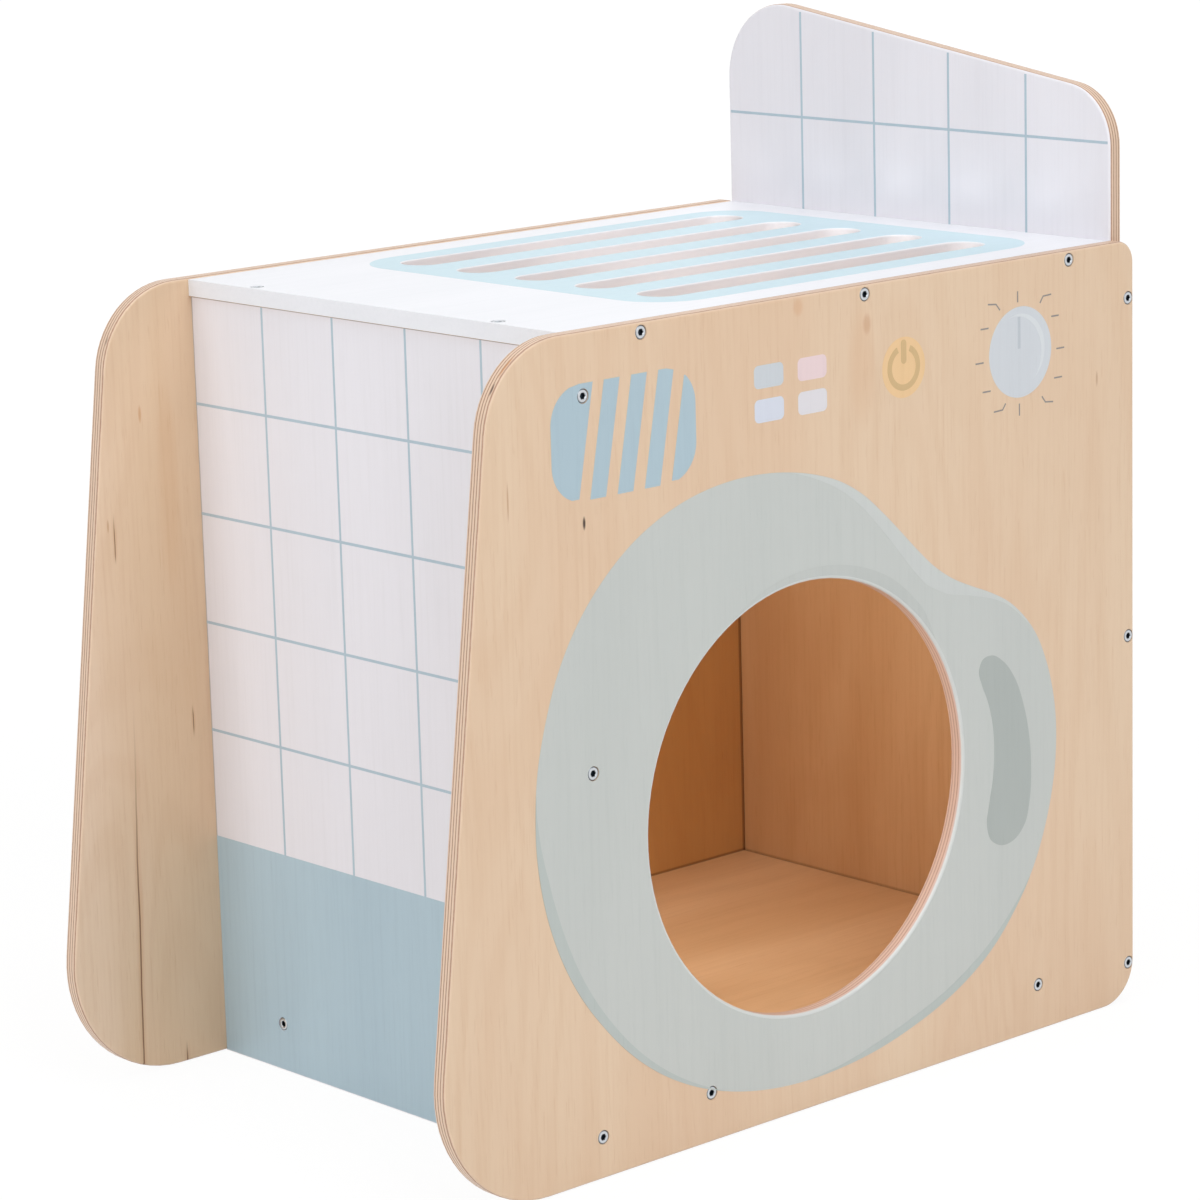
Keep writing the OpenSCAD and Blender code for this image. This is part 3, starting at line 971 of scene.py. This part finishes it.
screw_nodes = [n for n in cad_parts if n.endswith("_screws")]
screw_places = {node: screw_heads(node) for node in screw_nodes}
for node, (middles, way) in screw_places.items():
    rows = screw_rows * [0.001, 0.001, 1, 1]
    points = [turned(rows[:, 0], rows[:, 1], rows[:, 2], m, way) for m in middles]
    size = len(rows) * screw_columns
    k = np.arange(screw_columns)
    after = (k + 1) % screw_columns
    ring = np.stack([k, after, after + screw_columns, k + screw_columns], 1)
    one = np.concatenate([ring + row * screw_columns for row in range(len(rows) - 1)])
    quads = np.concatenate([one + n * size for n in range(len(middles))])
    mesh = bpy.data.meshes.new(node.replace("screws", "turned"))
    mesh.from_pydata(np.concatenate(points).tolist(), [], quads.tolist())
    # painted light per point: low in the socket and rim (painted shade), high on the ring (painted
    # highlight)
    shine = mesh.attributes.new("bright", "FLOAT", "POINT")
    shine.data.foreach_set("value", np.tile(np.repeat(rows[:, 3], screw_columns), len(middles)))
    piece = new_piece(mesh, finish, merge=1e-7)
    mesh.shade_smooth()
    mesh.set_sharp_from_angle(angle=np.radians(38))
    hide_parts(node)
    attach(piece, "root")


def drill(piece_name, node):
    """Cuts round holes for a node's screw heads through a printed layer."""
    middles, way = screw_places[node]
    side = np.roll(way, 1)
    size = {"segments": 40, "radius1": screw_hole_r, "radius2": screw_hole_r, "depth": 0.006}
    shell = bmesh.new()
    for middle in middles:
        turn = axes_at(middle, side, np.cross(way, side), way)
        bmesh.ops.create_cone(shell, cap_ends=True, matrix=turn, **size)
    mesh = bpy.data.meshes.new("drill")
    shell.to_mesh(mesh)
    shell.free()
    cutter = bpy.data.objects.new("drill", mesh)
    bpy.context.scene.collection.objects.link(cutter)
    piece = bpy.data.objects[piece_name]
    holes = piece.modifiers.new("holes", "BOOLEAN")
    holes.object, holes.solver = cutter, "EXACT"
    seen = piece.evaluated_get(bpy.context.evaluated_depsgraph_get())
    cut = bpy.data.meshes.new_from_object(seen)
    piece.modifiers.clear()
    piece.data = cut
    bpy.data.objects.remove(cutter)


for piece_name in ("door_ring", "ring_dark_rims", "striped_patch"):
    drill(piece_name, "front_left_screws")
drill("door_ring", "front_floor_screws")
drill("left_band", "left_floor_screws")


# ---------------------------------------------------------------------------
# Studio
# White sweep that is plain white to the camera and keeps a soft shadow, an even
# sky, four large soft lamps and a small one inside the cabinet.
# ---------------------------------------------------------------------------
def direct_view(start):
    """1 for rays that show a thing as it is: to the camera, in a reflection, through glass."""
    path = start.node("ShaderNodeLightPath", out="Is Camera Ray")
    shine = start.node("ShaderNodeLightPath", out="Is Glossy Ray")
    through = start.node("ShaderNodeLightPath", out="Is Transmission Ray")
    return path.maths("MAXIMUM", shine).maths("MAXIMUM", through)


floor_mesh = bpy.data.meshes.new("studio_floor")
sweep_reach, sweep_z = 30.0, -0.0005
sweep_signs = ((-1, -1), (1, -1), (1, 1), (-1, 1))
sweep_points = [(x * sweep_reach, y * sweep_reach, sweep_z) for x, y in sweep_signs]
floor_mesh.from_pydata(sweep_points, [], [(0, 1, 2, 3)])
studio_floor = bpy.data.objects.new("studio_floor", floor_mesh)
bpy.context.scene.collection.objects.link(studio_floor)
finish, start, xyz = new_finish("studio_white")
plain_white = (1.0, 1.0, 1.0, 1.0)
paper = start.node("ShaderNodeBsdfDiffuse", {"Color": (0.9, 0.9, 0.9, 1.0)})
glow = start.node("ShaderNodeEmission", {"Color": plain_white, "Strength": 1.03})
away = (xyz[0] * xyz[0] + xyz[1] * xyz[1]).fade(0.6, 4.0)
share = direct_view(start) * (0.9 + away * 0.1)
mixed = start.node("ShaderNodeMixShader", {0: share, 1: paper, 2: glow})
start.node("ShaderNodeOutputMaterial", {"Surface": mixed})
floor_mesh.materials.append(finish)

sky = bpy.data.worlds.new("studio_sky")
sky.use_nodes = True
sky.node_tree.nodes.clear()
start = Wire(sky.node_tree)
even = start.node("ShaderNodeBackground", {"Color": plain_white, "Strength": 0.32})
white = start.node("ShaderNodeBackground", {"Color": plain_white, "Strength": 1.0})
both = start.node("ShaderNodeMixShader", {0: direct_view(start), 1: even, 2: white})
start.node("ShaderNodeOutputWorld", {"Surface": both})
bpy.context.scene.world = sky


def soft_lamp(name, place, target, size, power, gloss=True):
    """Square area lamp at place that shines at target; gloss is whether it reflects."""
    light = bpy.data.lights.new(name, "AREA")
    light.shape = "SQUARE"
    light.size, light.energy = size, power
    lamp = bpy.data.objects.new(name, light)
    back = np.array(place, float) - np.array(target, float)
    back /= np.linalg.norm(back)
    right = np.cross([0, 0, 1.0], back)
    right /= np.linalg.norm(right)
    lamp.matrix_world = axes_at(place, right, np.cross(back, right), back)
    lamp.visible_camera = False
    lamp.visible_glossy = gloss
    bpy.context.scene.collection.objects.link(lamp)


soft_lamp("front_lamp", (-0.5, -2.9, 2.2), (0, 0, 0.35), 2.4, 46.5)
soft_lamp("left_lamp", (-2.9, 0.2, 1.0), (0, 0.1, 0.3), 2.2, 29.0)
soft_lamp("top_lamp", (0.0, -0.2, 3.2), (0, 0.1, 0.3), 2.4, 36.0)
soft_lamp("rear_lamp", (2.2, 2.8, 1.8), (0, 0, 0.3), 2.0, 26.0, gloss=False)
soft_lamp("door_lamp", (-0.1, -0.05, 0.44), (0.33, -0.1, 0.15), 0.18, 0.76, gloss=False)

bpy.context.scene.view_settings.view_transform = "Standard"
